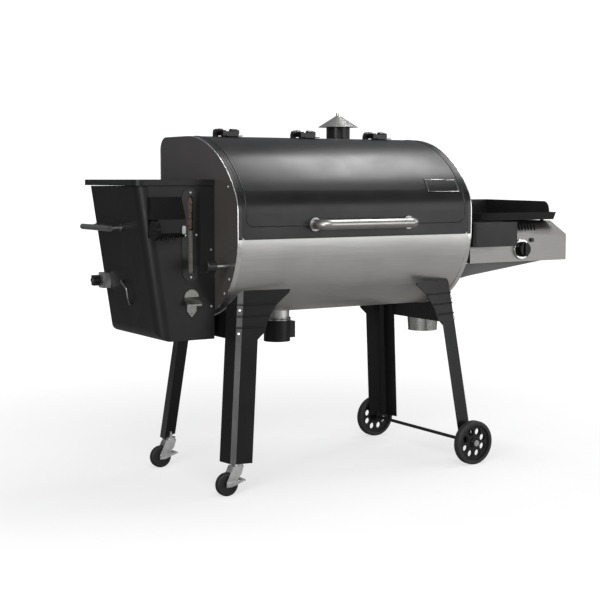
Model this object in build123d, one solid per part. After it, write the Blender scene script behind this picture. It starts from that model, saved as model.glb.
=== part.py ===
"""Barrel-shaped pellet smoker grill on four splayed legs.

A pellet hopper with its controller stands at the left end and a gas side
burner with a griddle at the right end.  Every physical piece is one node.

Design frame, in millimetres: X to the right along the barrel, Y to the rear,
Z up from the floor, with X = Y = 0 at the middle of the barrel.  At the end
every piece is shifted so that the origin is the middle of the footprint.
"""
from build123d import *
import math
import os

# ------------------------------------------------------------------ barrel
BARREL_LENGTH = 940.0
BARREL_RADIUS = 275.0          # half-round bottom of the D-shaped section
AXIS_Z = 831.0                 # centre of that half round
SHOULDER_Z = 905.0             # top of the upright front flat
SHOULDER_RADIUS = 130.0        # tight arc above the flat
CROWN_RADIUS = 388.0           # wide arc up to the level top
TOP_Z = 1155.0
BACK_CORNER_RADIUS = 45.0
SHEET = 2.0
END_X = BARREL_LENGTH / 2
RIM_WIDTH = 16.0
JAMB_X = 438.0                 # half width of the cooking opening

# ------------------------------------------------------------------ lid
LID_BOTTOM_Z = 820.0
LID_LAP = 20.0                 # how far the lid reaches over the shell
LID_THICKNESS = 1.7
LID_X = END_X - RIM_WIDTH - 1.0
LID_CORNER_RADIUS = 14.0
HINGE_Y = 90.0
HINGE_Z = 1171.0
HINGE_CENTRES_X = (-311.0, 0.0, 311.0)
HANDLE_Z = 865.0
HANDLE_Y = -328.0
HANDLE_X = (-184.0, 192.0)
HANDLE_RADIUS = 16.0
NAMEPLATE_X = (291.0, 427.0)

# ------------------------------------------------------------------ chimney
CHIMNEY_X = 308.0
CHIMNEY_Y = 330.0
CHIMNEY_RADIUS = 45.0
CHIMNEY_TOP_Z = 1219.0
DUCT_Z = 1060.0
CAP_RADIUS = 78.0
CAP_BASE_Z = 1208.0
CAP_TOP_Z = 1255.0

# ------------------------------------------------------------------ inside
FIRE_POT_X = -164.0
FIRE_POT_RADIUS = 46.0
FIRE_POT_Z = (576.0, 672.0)
AUGER_Z = 618.0
AUGER_Y = 0.0
AUGER_LEFT_X = -628.0
AUGER_TUBE_RADIUS = 27.0
GRATE_Z = 846.0
RACK_Z = 985.0
ASH_ROD_Y = -219.0
ASH_ROD_Z = 737.0

# ------------------------------------------------------------------ hopper
HOPPER_RIGHT_X = -(END_X + 3.0)
HOPPER_LEFT_X = -742.0         # at the top edge of the body
HOPPER_FRONT_Y = -120.0
HOPPER_REAR_Y = 268.0
HOPPER_TOP_Z = 989.0
HOPPER_BOTTOM_Z = 493.0
HOPPER_LEAN = 0.150            # inward run of the left face per unit of drop
HOPPER_LOW_CORNER = 42.0
HOPPER_FRONT_CORNER = 38.0
HOPPER_WALL = 2.0
BIN_FLOOR_Z = 668.0            # deck between the pellet bin and the machinery
HOPPER_LID_LEFT_X = -750.0
HOPPER_LID_REAR_Y = 304.0
HOPPER_LID_FRONT_Y = -123.0
HOPPER_LID_TOP_Z = 1010.0
HOPPER_LID_DEPTH = 19.0
WINDOW_X = -558.0
WINDOW_SLOT = (18.0, 249.0)
WINDOW_CENTRE_Z = 833.0
WINDOW_FRAME = (62.0, 297.0)
CONTROL_X = (-708.0, -596.0)
CONTROL_DEPTH = 45.0
CONTROL_TOP_Z = 955.0
CONTROL_CREASE_Z = 885.0
CONTROL_BOTTOM_Z = 828.0
DIAL_X = (-707.0, -693.0)
DIAL_Y = -155.5
DIAL_Z = 852.0
DIAL_RADIUS = 31.0
BUTTON_X = -606.0
BUTTON_SIZE = (13.0, 27.0)
OPENER_X = -557.0

# ------------------------------------------------------------------ stand
LEG_TOP_Z = 655.0
LEG_TOP_X = 428.0              # outer corner of a leg at its top
LEG_TOP_Y = 212.0
LEG_LEAN_X = 0.114
LEG_LEAN_Y = 0.103
LEG_FLANGE = 68.0
LEG_BEVEL = 12.0
LEG_OPEN_DEG = 9.0             # each flange opened past square
LEG_SHEET = 3.0
RIB_RADIUS = 3.4
RIB_SINK = 0.8                 # how far a rib's axis lies behind the flange's face
LEFT_LEG_BOTTOM_Z = 105.0
RIGHT_LEG_BOTTOM_Z = 88.0
WING_REACH = 174.0
APRON_BOTTOM_Z = 496.0
WHEEL_RADIUS = 78.0
WHEEL_X = 468.0
WHEEL_Y = (288.0, 316.0)
AXLE_RADIUS = 6.0
CASTER_RADIUS = 38.0
CASTER_X = -458.0
CASTER_Y = 243.0
CASTER_TRAIL = 40.0

# ------------------------------------------------------------------ side burner
BURNER_X = (524.0, 990.0)
BURNER_FRONT_Y = -205.0
BURNER_REAR_Y = 215.0
BURNER_BOTTOM_Z = 708.0
PANEL_TOP_Z = 804.0
CONSOLE_DEPTH = 88.0
CONSOLE_TOP_Z = 853.0
KNOB_X = 767.0
KNOB_Z = 753.0
IGNITER_X = 815.0
IGNITER_Z = 786.0
GRIDDLE_X = (604.0, 968.0)
GRIDDLE_Y = (-172.0, 232.0)
GRIDDLE_Z = 859.0
GRIDDLE_RIM_Z = 887.0
GRIDDLE_WALL_Z = 930.0
GREASE_BOX_X = (478.0, 680.0)
GREASE_BOX_Y = (-285.0, -208.0)
GREASE_BOX_Z = (771.0, 858.0)

# ------------------------------------------------------------------ under the barrel
CUP_RADIUS = 46.0
CUP_Z = (453.0, 536.0)
BUCKET_X = 515.0
BUCKET_Y = 60.0
BUCKET_TOP_RADIUS = 61.0
BUCKET_BOTTOM_RADIUS = 54.0
BUCKET_Z = (444.0, 548.0)
SPOUT_Z = 640.0

RUNNING = 0.06                 # radial clearance of a shaft in its hole
GAP = 0.4                      # space between faces of bodies that move apart


# ------------------------------------------------------------------ helpers
def block(x, y, z):
    """Box between the two values given for each axis."""
    sizes = [abs(b - a) for a, b in (x, y, z)]
    middle = [(a + b) / 2 for a, b in (x, y, z)]
    return Pos(*middle) * Box(*sizes)


def rod(start, direction, length, radius):
    """Round bar from a start point along a direction."""
    bar = Cylinder(radius, length, align=(Align.CENTER, Align.CENTER, Align.MIN))
    return Plane(origin=start, z_dir=direction) * bar


def tube(start, direction, length, outer, inner):
    """Round tube, open at both ends."""
    return rod(start, direction, length, outer) - rod(start, direction, length, inner)


def bent_bar(points, bend, radius):
    """Round bar along straight runs joined by arcs."""
    path = FilletPolyline(*points, radius=bend)
    return sweep(Plane(origin=path @ 0, z_dir=path % 0) * Circle(radius), path=path)


def slab(points, thickness, direction):
    """Flat plate on a closed outline of points in space."""
    return extrude(make_face(Polyline(*points, close=True)), amount=thickness, dir=direction)


def yz_prism(points, x):
    """Outline of (Y, Z) points run along X."""
    outline = [(x[0], y, z) for y, z in points]
    return slab(outline, x[1] - x[0], (1, 0, 0))


def folded(points, thickness):
    """Face of a folded sheet: an open line thickened to its left, mitred at the bends."""
    line = [Vector(*point) for point in points]
    sides = [(b - a).normalized().rotate(Axis.Z, 90) for a, b in zip(line, line[1:])]
    inner = [line[0] + sides[0] * thickness]
    for here, before, after in zip(line[1:-1], sides, sides[1:]):
        inner.append(here + (before + after) * (thickness / (1 + before.dot(after))))
    inner.append(line[-1] + sides[-1] * thickness)
    return make_face(Polyline(*line, *reversed(inner), close=True))


def dome(start, direction, radius, height):
    """Low domed screw head."""
    head = rod(start, direction, height, radius)
    return fillet(head.edges().filter_by(GeomType.CIRCLE).sort_by_distance(start)[-1], height * 0.6)


def barrel_section(inset):
    """D-shaped outline of the barrel, drawn inwards by an inset, on the YZ plane."""
    front = BARREL_RADIUS - inset
    shoulder = (-BARREL_RADIUS + SHOULDER_RADIUS, SHOULDER_Z)
    rise = TOP_Z - CROWN_RADIUS - SHOULDER_Z
    crown_y = shoulder[0] + math.sqrt((CROWN_RADIUS - SHOULDER_RADIUS) ** 2 - rise ** 2)
    crown = (crown_y, TOP_Z - CROWN_RADIUS)
    joint = math.degrees(math.atan2(shoulder[1] - crown[1], shoulder[0] - crown[0]))
    corner = (BARREL_RADIUS - BACK_CORNER_RADIUS, TOP_Z - BACK_CORNER_RADIUS)
    edges = [
        CenterArc((0, AXIS_Z), front, 180, 180),
        Line((front, AXIS_Z), (front, corner[1])),
        CenterArc(corner, BACK_CORNER_RADIUS - inset, 0, 90),
        Line((corner[0], TOP_Z - inset), (crown[0], TOP_Z - inset)),
        CenterArc(crown, CROWN_RADIUS - inset, 90, joint - 90),
        CenterArc(shoulder, SHOULDER_RADIUS - inset, joint, 180 - joint),
        Line((-front, SHOULDER_Z), (-front, AXIS_Z)),
    ]
    return Plane.YZ * make_face(edges)


def barrel_prism(inset, x0, x1):
    """Solid D-shaped bar between two X stations."""
    return Pos(x0, 0, 0) * extrude(barrel_section(inset), amount=x1 - x0, dir=(1, 0, 0))


def barrel_band(outer_inset, inner_inset, x0, x1):
    """Closed band of sheet that follows the barrel section."""
    return barrel_prism(outer_inset, x0, x1) - barrel_prism(inner_inset, x0, x1)


# ------------------------------------------------------------------ barrel pieces
def make_barrel_shell():
    """Sheet body with the cooking opening, the ash hole and the flue hole."""
    shell = barrel_band(SHEET, 2 * SHEET, -END_X + SHEET, END_X - SHEET)
    opening = block((-JAMB_X, JAMB_X), (-400, HINGE_Y - 36), (LID_BOTTOM_Z + LID_LAP, 1300))
    ash_hole = rod((FIRE_POT_X, 0, 540), (0, 0, 1), 40, FIRE_POT_RADIUS - 8)
    flue_hole = rod((CHIMNEY_X, 250, DUCT_Z), (0, 1, 0), 40, 33)
    return shell - opening - ash_hole - flue_hole + ash_collar()


def ash_collar():
    """Welded collar under the barrel that the ash cup pushes onto."""
    low = CUP_Z[1] - 24
    outer = CUP_RADIUS - 2.5 - GAP
    return tube((FIRE_POT_X, 0, low), (0, 0, 1), 60, outer, outer - 3) - barrel_prism(SHEET, -400, 400)


def make_end_cap(side):
    """Painted end plate inside the rim."""
    return barrel_prism(SHEET, *sorted((side * END_X, side * (END_X - SHEET))))


def make_end_cap_left():
    """Left end plate with its auger hole and the hole of the ash rod."""
    auger_hole = rod((-END_X - 5, AUGER_Y, AUGER_Z), (1, 0, 0), 15, AUGER_TUBE_RADIUS)
    rod_hole = rod((-END_X - 5, ASH_ROD_Y, ASH_ROD_Z), (1, 0, 0), 15, 5.0 + RUNNING)
    return make_end_cap(-1) - auger_hole - rod_hole


def make_end_cap_right():
    """Right end plate with its welded grease spout, cut open over the bucket."""
    reach = BUCKET_X - END_X + 4
    start = (END_X - 8, BUCKET_Y, SPOUT_Z)
    spout = rod(start, (1, 0, 0), reach + 16, 13)
    mouth = block((BUCKET_X - 14, BUCKET_X + 60), (0, 200), (SPOUT_Z - 30, SPOUT_Z - 6))
    return make_end_cap(1) + (spout - mouth) - rod(start, (1, 0, 0), reach + 30, 11)


def make_end_rims():
    """Bright bands that close the barrel's two ends."""
    left = barrel_band(0, SHEET, -END_X - 1, -END_X + RIM_WIDTH)
    right = barrel_band(0, SHEET, END_X - RIM_WIDTH, END_X + 1)
    return [left, right]


def make_lid_shell():
    """Curved lid sheet with rounded lower corners."""
    skin = barrel_band(0, LID_THICKNESS, -LID_X, LID_X)
    corner = LID_CORNER_RADIUS
    front = Plane.XZ * Pos(0, (LID_BOTTOM_Z + 1300) / 2) * RectangleRounded(
        2 * LID_X, 1300 - LID_BOTTOM_Z, corner)
    window = Pos(0, HINGE_Y - 16, 0) * extrude(front, amount=500, dir=(0, -1, 0))
    return skin & window


def make_lid_handle():
    """Polished tube handle, its elbows and its two wall flanges."""
    left, right = HANDLE_X
    wall = -BARREL_RADIUS - 0.4
    path = [(left, wall, HANDLE_Z), (left, HANDLE_Y, HANDLE_Z),
            (right, HANDLE_Y, HANDLE_Z), (right, wall, HANDLE_Z)]
    handle = bent_bar(path, 28, HANDLE_RADIUS)
    for x in (left, right):
        handle += rod((x, wall, HANDLE_Z), (0, -1, 0), 5, 22)
    return handle


def make_nameplate():
    """Plain plate that follows the curve of the lid."""
    band = barrel_prism(-1.2, *NAMEPLATE_X) - barrel_prism(-0.1, *NAMEPLATE_X)
    return band & block((-500, 500), (-300, -150), (966, 1012))


def make_hinge_brackets():
    """Fixed halves of the lid hinges: a foot and two ears each."""
    brackets = []
    for x in HINGE_CENTRES_X:
        foot = block((x - 44, x + 44), (HINGE_Y - 8, HINGE_Y + 44), (TOP_Z - SHEET, TOP_Z + 1.2))
        bracket = foot
        for side in (-1, 1):
            ear_x = x + side * 38
            ear = block((ear_x - 3, ear_x + 3), (HINGE_Y - 8, HINGE_Y + 22), (TOP_Z, HINGE_Z))
            nose = rod((ear_x - 3, HINGE_Y, HINGE_Z), (1, 0, 0), 6, 11)
            bracket += ear + nose
        bore = rod((x - 60, HINGE_Y, HINGE_Z), (1, 0, 0), 120, 4.0)
        brackets.append(bracket - bore)
    return brackets


def make_hinge_leaves():
    """Lid halves of the hinges: a strap on the lid and two knuckles joined by an arch."""
    leaves = []
    for x in HINGE_CENTRES_X:
        strap = block((x - 30, x + 30), (HINGE_Y - 62, HINGE_Y - 18), (TOP_Z + 0.2, TOP_Z + 3.4))
        leaf = strap
        for side in (-1, 1):
            arm_x = x + side * 24
            arm = block((arm_x - 6, arm_x + 6), (HINGE_Y - 34, HINGE_Y), (TOP_Z + 3.4, HINGE_Z + 6))
            knuckle = rod((arm_x - 8, HINGE_Y, HINGE_Z), (1, 0, 0), 16, 12)
            leaf += arm + knuckle
        leaf += block((x - 24, x + 24), (HINGE_Y - 34, HINGE_Y - 26), (TOP_Z + 3, HINGE_Z + 2))
        bore = rod((x - 60, HINGE_Y, HINGE_Z), (1, 0, 0), 120, 4.0 + RUNNING)
        leaves.append(leaf - bore)
    return leaves


def make_hinge_pins():
    """Bolts on which the lid turns, with their heads and nuts."""
    pins = []
    for x in HINGE_CENTRES_X:
        pin = rod((x - 46, HINGE_Y, HINGE_Z), (1, 0, 0), 92, 4.0)
        head = rod((x - 47, HINGE_Y, HINGE_Z), (1, 0, 0), 6, 9)
        nut = rod((x + 41, HINGE_Y, HINGE_Z), (1, 0, 0), 6, 9)
        pins.append(pin + head + nut)
    return pins


def make_chimney_pipe():
    """Flue: an upright pipe, its duct to the back wall and a bridge that guides the cap."""
    bottom = DUCT_Z - 52
    pipe = rod((CHIMNEY_X, CHIMNEY_Y, bottom), (0, 0, 1), CHIMNEY_TOP_Z - bottom, CHIMNEY_RADIUS)
    duct = rod((CHIMNEY_X, BARREL_RADIUS, DUCT_Z), (0, 1, 0), CHIMNEY_Y - BARREL_RADIUS, 35)
    flange = rod((CHIMNEY_X, BARREL_RADIUS - SHEET, DUCT_Z), (0, 1, 0), 3, 50)
    hollow = rod((CHIMNEY_X, CHIMNEY_Y, bottom + 2), (0, 0, 1), 400, CHIMNEY_RADIUS - 2)
    way = rod((CHIMNEY_X, BARREL_RADIUS - 10, DUCT_Z), (0, 1, 0), 60, 33)
    bridge_z = CHIMNEY_TOP_Z - 14
    bridge = block((CHIMNEY_X - 44, CHIMNEY_X + 44), (CHIMNEY_Y - 7, CHIMNEY_Y + 7),
                   (bridge_z, bridge_z + 4))
    guide = rod((CHIMNEY_X, CHIMNEY_Y, bridge_z - 8), (0, 0, 1), 100, 4.0 + RUNNING)
    return pipe + duct + flange - hollow - way + (bridge - guide)


def make_chimney_cap():
    """Conical rain cap on its threaded stem."""
    x, y = CHIMNEY_X, CHIMNEY_Y
    rise = CAP_TOP_Z - CAP_BASE_Z
    align = (Align.CENTER, Align.CENTER, Align.MIN)
    cone = Pos(x, y, CAP_BASE_Z) * Cone(CAP_RADIUS, 3, rise, align=align)
    inside = Pos(x, y, CAP_BASE_Z) * Cone(CAP_RADIUS - 2.4, 1, rise - 1.6, align=align)
    stem = rod((x, y, CAP_BASE_Z - 58), (0, 0, 1), CAP_TOP_Z - CAP_BASE_Z + 55, 4.0)
    button = rod((x, y, CAP_TOP_Z - 4), (0, 0, 1), 11, 8)
    return cone - inside + stem + button


# ------------------------------------------------------------------ cooking chamber
def wire_grid(x, y, z, pitch, radius):
    """Frame of bars with close wires along Y, as one rack."""
    rack = Part()
    for bar_y in (y[0], (y[0] + y[1]) / 2, y[1]):
        rack += rod((x[0], bar_y, z), (1, 0, 0), x[1] - x[0], radius * 1.5)
    count = round((x[1] - x[0]) / pitch)
    wires = [rod((x[0] + 2 + i * (x[1] - x[0] - 4) / count, y[0], z), (0, 1, 0), y[1] - y[0], radius)
             for i in range(count + 1)]
    return rack + wires


def make_cooking_grate():
    """Main cooking grate on its two wall ledges."""
    return wire_grid((-430, 430), (-222, 222), GRATE_Z, 18, 2.5)


def make_warming_rack():
    """Short upper rack on four wire feet."""
    rack = wire_grid((-418, 418), (10, 190), RACK_Z, 20, 2.2)
    for x in (-416, 416):
        for y in (12, 188):
            rack += rod((x, y, RACK_Z - 100), (0, 0, 1), 100, 3.0)
    return rack


def make_grate_ledges():
    """Angle rails that carry the grate and the warming rack, at the jambs."""
    ledges = []
    for side in (-1, 1):
        wall = side * (END_X - SHEET)
        lip = side * 405
        low = yz_prism([(-230, GRATE_Z - 8), (230, GRATE_Z - 8), (230, GRATE_Z - 4.4),
                        (-230, GRATE_Z - 4.4)], sorted((wall, lip)))
        high = yz_prism([(0, RACK_Z - 104), (200, RACK_Z - 104), (200, RACK_Z - 100.6),
                         (0, RACK_Z - 100.6)], sorted((wall, lip)))
        ledges += [low, high]
    return ledges


def make_drip_tray():
    """Sloping sheet that carries the grease to the spout."""
    line = [(-200, 792), (-200, 772), (0, 752), (200, 772), (200, 792)]
    face = folded(line, -2.0)
    tray = extrude(face, amount=850)
    return Plane(origin=(-425, 0, 0), x_dir=(0, 1, 0), z_dir=(1, 0, 0)) * tray


def make_heat_baffle():
    """Bent plate above the fire pot that spreads the heat."""
    line = [(-70, 690), (-50, 714), (50, 714), (70, 690)]
    face = folded(line, 2.5)
    plate = extrude(face, amount=240)
    feet = [block((FIRE_POT_X + dx - 3, FIRE_POT_X + dx + 3), (y - 2, y + 2), (568.5, 698))
            for dx in (-110, 110) for y in (-65, 65)]
    return Plane(origin=(FIRE_POT_X - 120, 0, 0), x_dir=(0, 1, 0), z_dir=(1, 0, 0)) * plate + feet


def make_fire_pot():
    """Cast burn pot with its auger mouth, air holes and three feet."""
    low, high = FIRE_POT_Z
    pot = tube((FIRE_POT_X, 0, low), (0, 0, 1), high - low, FIRE_POT_RADIUS, FIRE_POT_RADIUS - 4)
    mouth = rod((FIRE_POT_X - 80, AUGER_Y, AUGER_Z), (1, 0, 0), 80, AUGER_TUBE_RADIUS + 0.2)
    pot -= mouth
    for angle in range(0, 360, 45):
        radial = (math.cos(math.radians(angle)), math.sin(math.radians(angle)), 0)
        pot -= rod((FIRE_POT_X, 0, low + 82), radial, 60, 3.5)
    for angle in (60, 120, 300):
        x = FIRE_POT_X + 43.5 * math.cos(math.radians(angle))
        y = 43.5 * math.sin(math.radians(angle))
        pot += rod((x, y, AXIS_Z - math.sqrt(271 ** 2 - y ** 2) + 0.6), (0, 0, 1), 14, 2.2)
    return pot


def make_auger_tube():
    """Steel tube that leads the pellets from the hopper to the fire pot."""
    reach = FIRE_POT_X - FIRE_POT_RADIUS + 2 - AUGER_LEFT_X
    body = tube((AUGER_LEFT_X, AUGER_Y, AUGER_Z), (1, 0, 0), reach, AUGER_TUBE_RADIUS,
                AUGER_TUBE_RADIUS - 3)
    mouth = block((AUGER_LEFT_X + 10, HOPPER_RIGHT_X - 10), (AUGER_Y - 22, AUGER_Y + 22),
                  (AUGER_Z + 8, AUGER_Z + 60))
    return body - mouth


def make_auger_screw():
    """Feed screw: a shaft with a helical row of flight discs."""
    reach = FIRE_POT_X - FIRE_POT_RADIUS - 4 - AUGER_LEFT_X
    screw = rod((AUGER_LEFT_X - 14, AUGER_Y, AUGER_Z), (1, 0, 0), reach + 14, 6.0)
    pitch = 34.0
    tilt = 0.32
    for i in range(int((reach - 20) / pitch)):
        centre = (AUGER_LEFT_X + 14 + i * pitch, AUGER_Y, AUGER_Z)
        screw += rod(centre, (1, 0, tilt), 2.6, 22.4)
    return screw


def make_auger_motor():
    """Gear motor behind the left end of the auger tube."""
    left = AUGER_LEFT_X - 14
    body = block((left - 8, left + 6), (AUGER_Y - 34, AUGER_Y + 34), (AUGER_Z - 36, AUGER_Z + 40))
    can = rod((left - 12, AUGER_Y + 2, AUGER_Z + 4), (0, 1, 0), 80, 22)
    coupling = rod((left - 12, AUGER_Y, AUGER_Z), (1, 0, 0), 40, 6.0 + RUNNING)
    return body + (can - body) - coupling


def make_blower_housing():
    """Snail housing of the combustion fan, open to the left and to the barrel."""
    x = (-600, -560)
    body = rod((x[0], 150, 590), (1, 0, 0), x[1] - x[0], 52)
    hollow = rod((x[0] + 2, 150, 590), (1, 0, 0), x[1] - x[0] - 4, 50)
    inlet = rod((x[0] - 5, 150, 590), (1, 0, 0), 20, 28)
    spindle = rod((x[1] - 10, 150, 590), (1, 0, 0), 20, 3.0 + RUNNING)
    motor = tube((x[1], 150, 590), (1, 0, 0), 34, 24, 3.0 + RUNNING)
    return body - hollow - inlet - spindle + motor


def make_fan_wheel():
    """Squirrel-cage fan wheel on its spindle."""
    x = (-596, -566)
    wheel = rod((x[1] - 3, 150, 590), (1, 0, 0), 3, 44)
    wheel += tube((x[0], 150, 590), (1, 0, 0), 3, 44, 34)
    wheel += rod((x[1] - 4, 150, 590), (1, 0, 0), 30, 3.0)
    for i in range(18):
        angle = math.radians(i * 20)
        blade_y = 150 + 40 * math.cos(angle)
        blade_z = 590 + 40 * math.sin(angle)
        wheel += rod((x[0], blade_y, blade_z), (1, 0, 0), x[1] - x[0], 2.0)
    return wheel


def make_ash_pull():
    """Ash clean-out knob, its rod, the crank and the sliding floor of the fire pot."""
    y, z = ASH_ROD_Y, ASH_ROD_Z
    knob = rod((-556, y, z), (1, 0, 0), 34, 19)
    knob = fillet(knob.edges().filter_by(GeomType.CIRCLE), 5)
    pull = knob + rod((-524, y, z), (1, 0, 0), FIRE_POT_X + 524, 5.0)
    floor_z = FIRE_POT_Z[0] - 5
    crank_x = FIRE_POT_X - 4
    pull += bent_bar([(crank_x, y, z), (crank_x, y + 10, z - 30), (crank_x, -120, floor_z + 34),
                      (crank_x, -70, floor_z + 1.5), (crank_x, -29, floor_z + 1.5)], 9, 1.5)
    pull += block((FIRE_POT_X - 44, FIRE_POT_X + 44), (-30, 30), (floor_z, floor_z + 3))
    return pull


# ------------------------------------------------------------------ hopper
def hopper_solid(inset, top):
    """Hopper body as a solid: a front outline cut by a leaning, round-cornered plan."""
    left = HOPPER_LEFT_X + inset
    bottom = HOPPER_BOTTOM_Z + inset
    drop = HOPPER_TOP_Z - bottom
    overrun = (HOPPER_TOP_Z - top) * HOPPER_LEAN
    front = FilletPolyline((HOPPER_RIGHT_X - inset, top), (left + overrun, top),
                           (left + drop * HOPPER_LEAN, bottom), (HOPPER_RIGHT_X - inset, bottom),
                           radius=[0.5, HOPPER_LOW_CORNER - inset], close=False)
    closing = Line(front @ 1, front @ 0)
    profile = extrude(Plane.XZ * make_face([*front.edges(), closing]), amount=900, both=True)
    plan = extrude(hopper_plan(inset), amount=1300, dir=(-HOPPER_LEAN, 0, 1))
    return profile & plan


def hopper_plan(inset):
    """Top view of the hopper where its leaning left face meets the floor."""
    floor_left = HOPPER_LEFT_X + HOPPER_TOP_Z * HOPPER_LEAN + inset
    y0, y1 = HOPPER_FRONT_Y + inset, HOPPER_REAR_Y - inset
    front_corner, rear_corner = HOPPER_FRONT_CORNER - inset, 22 - inset
    path = FilletPolyline((0, y0), (floor_left, y0), (floor_left, y1), (0, y1),
                          radius=[front_corner, rear_corner])
    return make_face([*path.edges(), Line(path @ 1, path @ 0)])


def make_hopper_shell():
    """Painted hopper body, open at the top, with the deck of the pellet bin."""
    wall = HOPPER_WALL
    shell = hopper_solid(0, HOPPER_TOP_Z) - hopper_solid(wall, HOPPER_TOP_Z + 40)
    deck = hopper_solid(wall, HOPPER_TOP_Z + 40) & block((-800, -400), (-200, 400),
                                                         (BIN_FLOOR_Z - 2, BIN_FLOOR_Z))
    well = block((AUGER_LEFT_X + 10, HOPPER_RIGHT_X - 10), (-20, 20), (500, 700))
    shell += deck - well
    shell -= rod((HOPPER_RIGHT_X - 10, AUGER_Y, AUGER_Z), (1, 0, 0), 20, AUGER_TUBE_RADIUS)
    slot_x, slot_z = WINDOW_SLOT
    cut = Plane.XZ * Pos(WINDOW_X, WINDOW_CENTRE_Z) * SlotOverall(slot_z, slot_x, rotation=90)
    shell -= Pos(0, HOPPER_FRONT_Y + 5, 0) * extrude(cut, amount=10)
    return shell


def make_window_frame():
    """Round-ended trim around the pellet window."""
    width, height = WINDOW_FRAME
    slot_x, slot_z = WINDOW_SLOT
    outline = Pos(WINDOW_X, WINDOW_CENTRE_Z) * SlotOverall(height, width, rotation=90)
    slot = Pos(WINDOW_X, WINDOW_CENTRE_Z) * SlotOverall(slot_z, slot_x, rotation=90)
    return Pos(0, HOPPER_FRONT_Y, 0) * extrude(Plane.XZ * (outline - slot), amount=2.5)


def make_window_pane():
    """Clear pane clamped inside the hopper wall."""
    slot_x, slot_z = WINDOW_SLOT
    y = HOPPER_FRONT_Y + HOPPER_WALL
    return block((WINDOW_X - slot_x / 2 - 8, WINDOW_X + slot_x / 2 + 8), (y, y + 3),
                 (WINDOW_CENTRE_Z - slot_z / 2 - 8, WINDOW_CENTRE_Z + slot_z / 2 + 8))


def make_wood_pellets():
    """Pellets that stand against the upper part of the pane."""
    y = HOPPER_FRONT_Y + HOPPER_WALL + 3
    return block((WINDOW_X - 15, WINDOW_X + 15), (y, y + 9),
                 (WINDOW_CENTRE_Z + 14, WINDOW_CENTRE_Z + 128))


def make_hopper_lid():
    """Flat hopper lid with a turned-down edge."""
    x = (HOPPER_LID_LEFT_X, HOPPER_RIGHT_X)
    y = (HOPPER_LID_FRONT_Y, HOPPER_LID_REAR_Y)
    z = (HOPPER_LID_TOP_Z - HOPPER_LID_DEPTH, HOPPER_LID_TOP_Z)
    lid = block(x, y, z)
    inside = block((x[0] + 2, x[1] - 2), (y[0] + 2, y[1] - 2), (z[0] - 5, z[1] - 2))
    lid = fillet(lid.edges().filter_by(Axis.Z).group_by(Axis.X)[0], 28)
    return lid - fillet(inside.edges().filter_by(Axis.Z).group_by(Axis.X)[0], 26)


def make_controller_housing():
    """Controller case with its sloped display face and the probe jacks underneath."""
    wall = HOPPER_FRONT_Y
    face = wall - CONTROL_DEPTH
    left, right = CONTROL_X
    outline = [(wall, CONTROL_TOP_Z), (wall - 14, CONTROL_TOP_Z), (face, CONTROL_CREASE_Z),
               (face, CONTROL_BOTTOM_Z + 14), (face + 14, CONTROL_BOTTOM_Z), (wall, CONTROL_BOTTOM_Z)]
    case = yz_prism(outline, CONTROL_X)
    case = fillet(case.edges().filter_by(Axis.X).group_by(Axis.Y)[0], 3)
    case -= block((left + 22, right - 22), (face + 14, wall + 1),
                  (CONTROL_BOTTOM_Z + 6, CONTROL_CREASE_Z + 20))
    case -= block((left - 1, DIAL_X[1] + GAP), (face - 1, wall - 4), (0, CONTROL_CREASE_Z))
    case -= rod((left - 10, DIAL_Y, DIAL_Z), (1, 0, 0), 50, 4.0 + RUNNING)
    case -= Pos(0, face + 9, 0) * extrude(button_face(0.4), amount=12)
    for x in (-668, -648, -628):
        case += rod((x, wall - 22, CONTROL_BOTTOM_Z - 8), (0, 0, 1), 8, 5.5)
    return case


def button_face(growth):
    """Upright rounded outline of the power button."""
    width, height = BUTTON_SIZE
    return Plane.XZ * Pos(BUTTON_X, DIAL_Z) * SlotOverall(height + 2 * growth, width + 2 * growth, rotation=90)


def make_controller_dial():
    """Ridged dial at the left end of the controller."""
    x0, x1 = DIAL_X
    dial = rod((x0, DIAL_Y, DIAL_Z), (1, 0, 0), x1 - x0, DIAL_RADIUS)
    for i in range(24):
        angle = math.radians(i * 15)
        ridge_y = DIAL_Y + (DIAL_RADIUS + 1) * math.cos(angle)
        ridge_z = DIAL_Z + (DIAL_RADIUS + 1) * math.sin(angle)
        dial -= rod((x0 - 1, ridge_y, ridge_z), (1, 0, 0), 20, 2.2)
    return dial + rod((x1 - 1, DIAL_Y, DIAL_Z), (1, 0, 0), 14, 4.0)


def make_power_button():
    """Sprung button on the lower face of the controller."""
    face = HOPPER_FRONT_Y - CONTROL_DEPTH
    return Pos(0, face + 3.5, 0) * extrude(button_face(0), amount=9)


def make_bottle_opener():
    """Pressed wall-mounted bottle opener: dome, hood and shield plate."""
    y = HOPPER_FRONT_Y
    dome_face = Plane.XZ * Pos(OPENER_X, 632) * (Circle(26) - Pos(0, -13) * Rectangle(60, 26))
    opener = Pos(0, y, 0) * extrude(dome_face, amount=4)
    hood = yz_prism([(y, 634), (y - 4, 634), (y - 24, 612), (y - 24, 606), (y - 18, 606),
                     (y - 5, 622), (y, 622)], (OPENER_X - 26, OPENER_X + 26))
    shield = [(OPENER_X - 17, y, 622), (OPENER_X + 17, y, 622), (OPENER_X + 17, y, 588),
              (OPENER_X, y, 568), (OPENER_X - 17, y, 588)]
    opener += hood + slab(shield, 4, (0, -1, 0))
    return opener - rod((OPENER_X, y - 10, 580), (0, 1, 0), 20, 2.5)


def hopper_face_x(z):
    """X of the leaning left face of the hopper at a height."""
    return HOPPER_LEFT_X + (HOPPER_TOP_Z - z) * HOPPER_LEAN


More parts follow.
